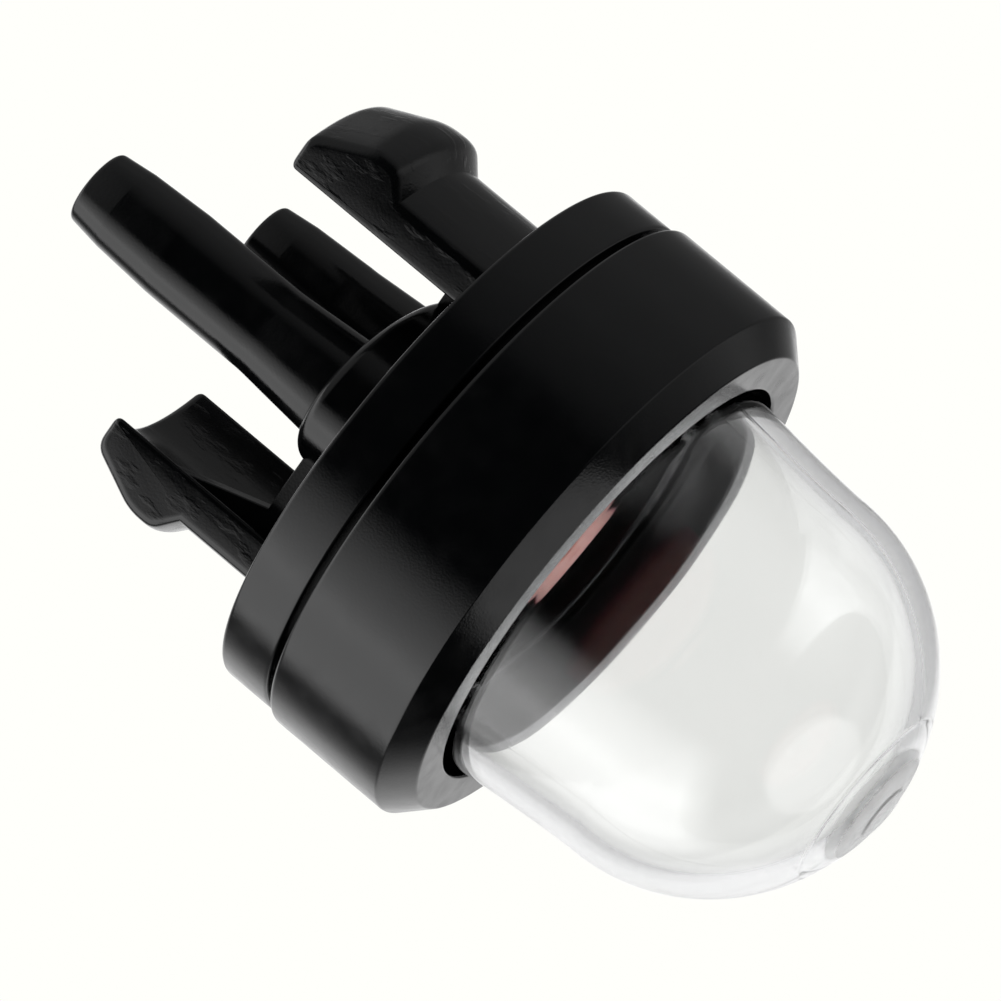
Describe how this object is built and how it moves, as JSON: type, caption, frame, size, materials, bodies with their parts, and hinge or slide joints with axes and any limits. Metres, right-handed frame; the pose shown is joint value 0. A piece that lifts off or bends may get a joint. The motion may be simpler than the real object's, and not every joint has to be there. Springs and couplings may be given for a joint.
{
  "type": "primer bulb",
  "caption": "Snap-in fuel primer bulb: clear squeeze dome in a black collar, on a base with hose nipples, hooked snap legs and a check valve",
  "frame": {"origin": "on the bulb's axis, in the plane of the base plate's rear face, which seats on the panel", "axes": "+Z along the bulb's axis towards the dome, X through both snap legs, Y through both hose nipples with the long nipple at -Y"},
  "size_m": [0.022, 0.022, 0.0352],
  "materials": {
    "black_moulding": "semi-gloss black nylon moulding",
    "pink_silicone": "matt pink silicone",
    "clear_polyurethane": "clear, glossy, flexible",
    "black_collar": "glossy black nylon, paler satin front face"
  },
  "bodies": {
    "root": {"base": "black_moulding", "check_valve": "pink_silicone", "bulb": "clear_polyurethane", "retaining_collar": "black_collar"}
  },
  "joints": []
}
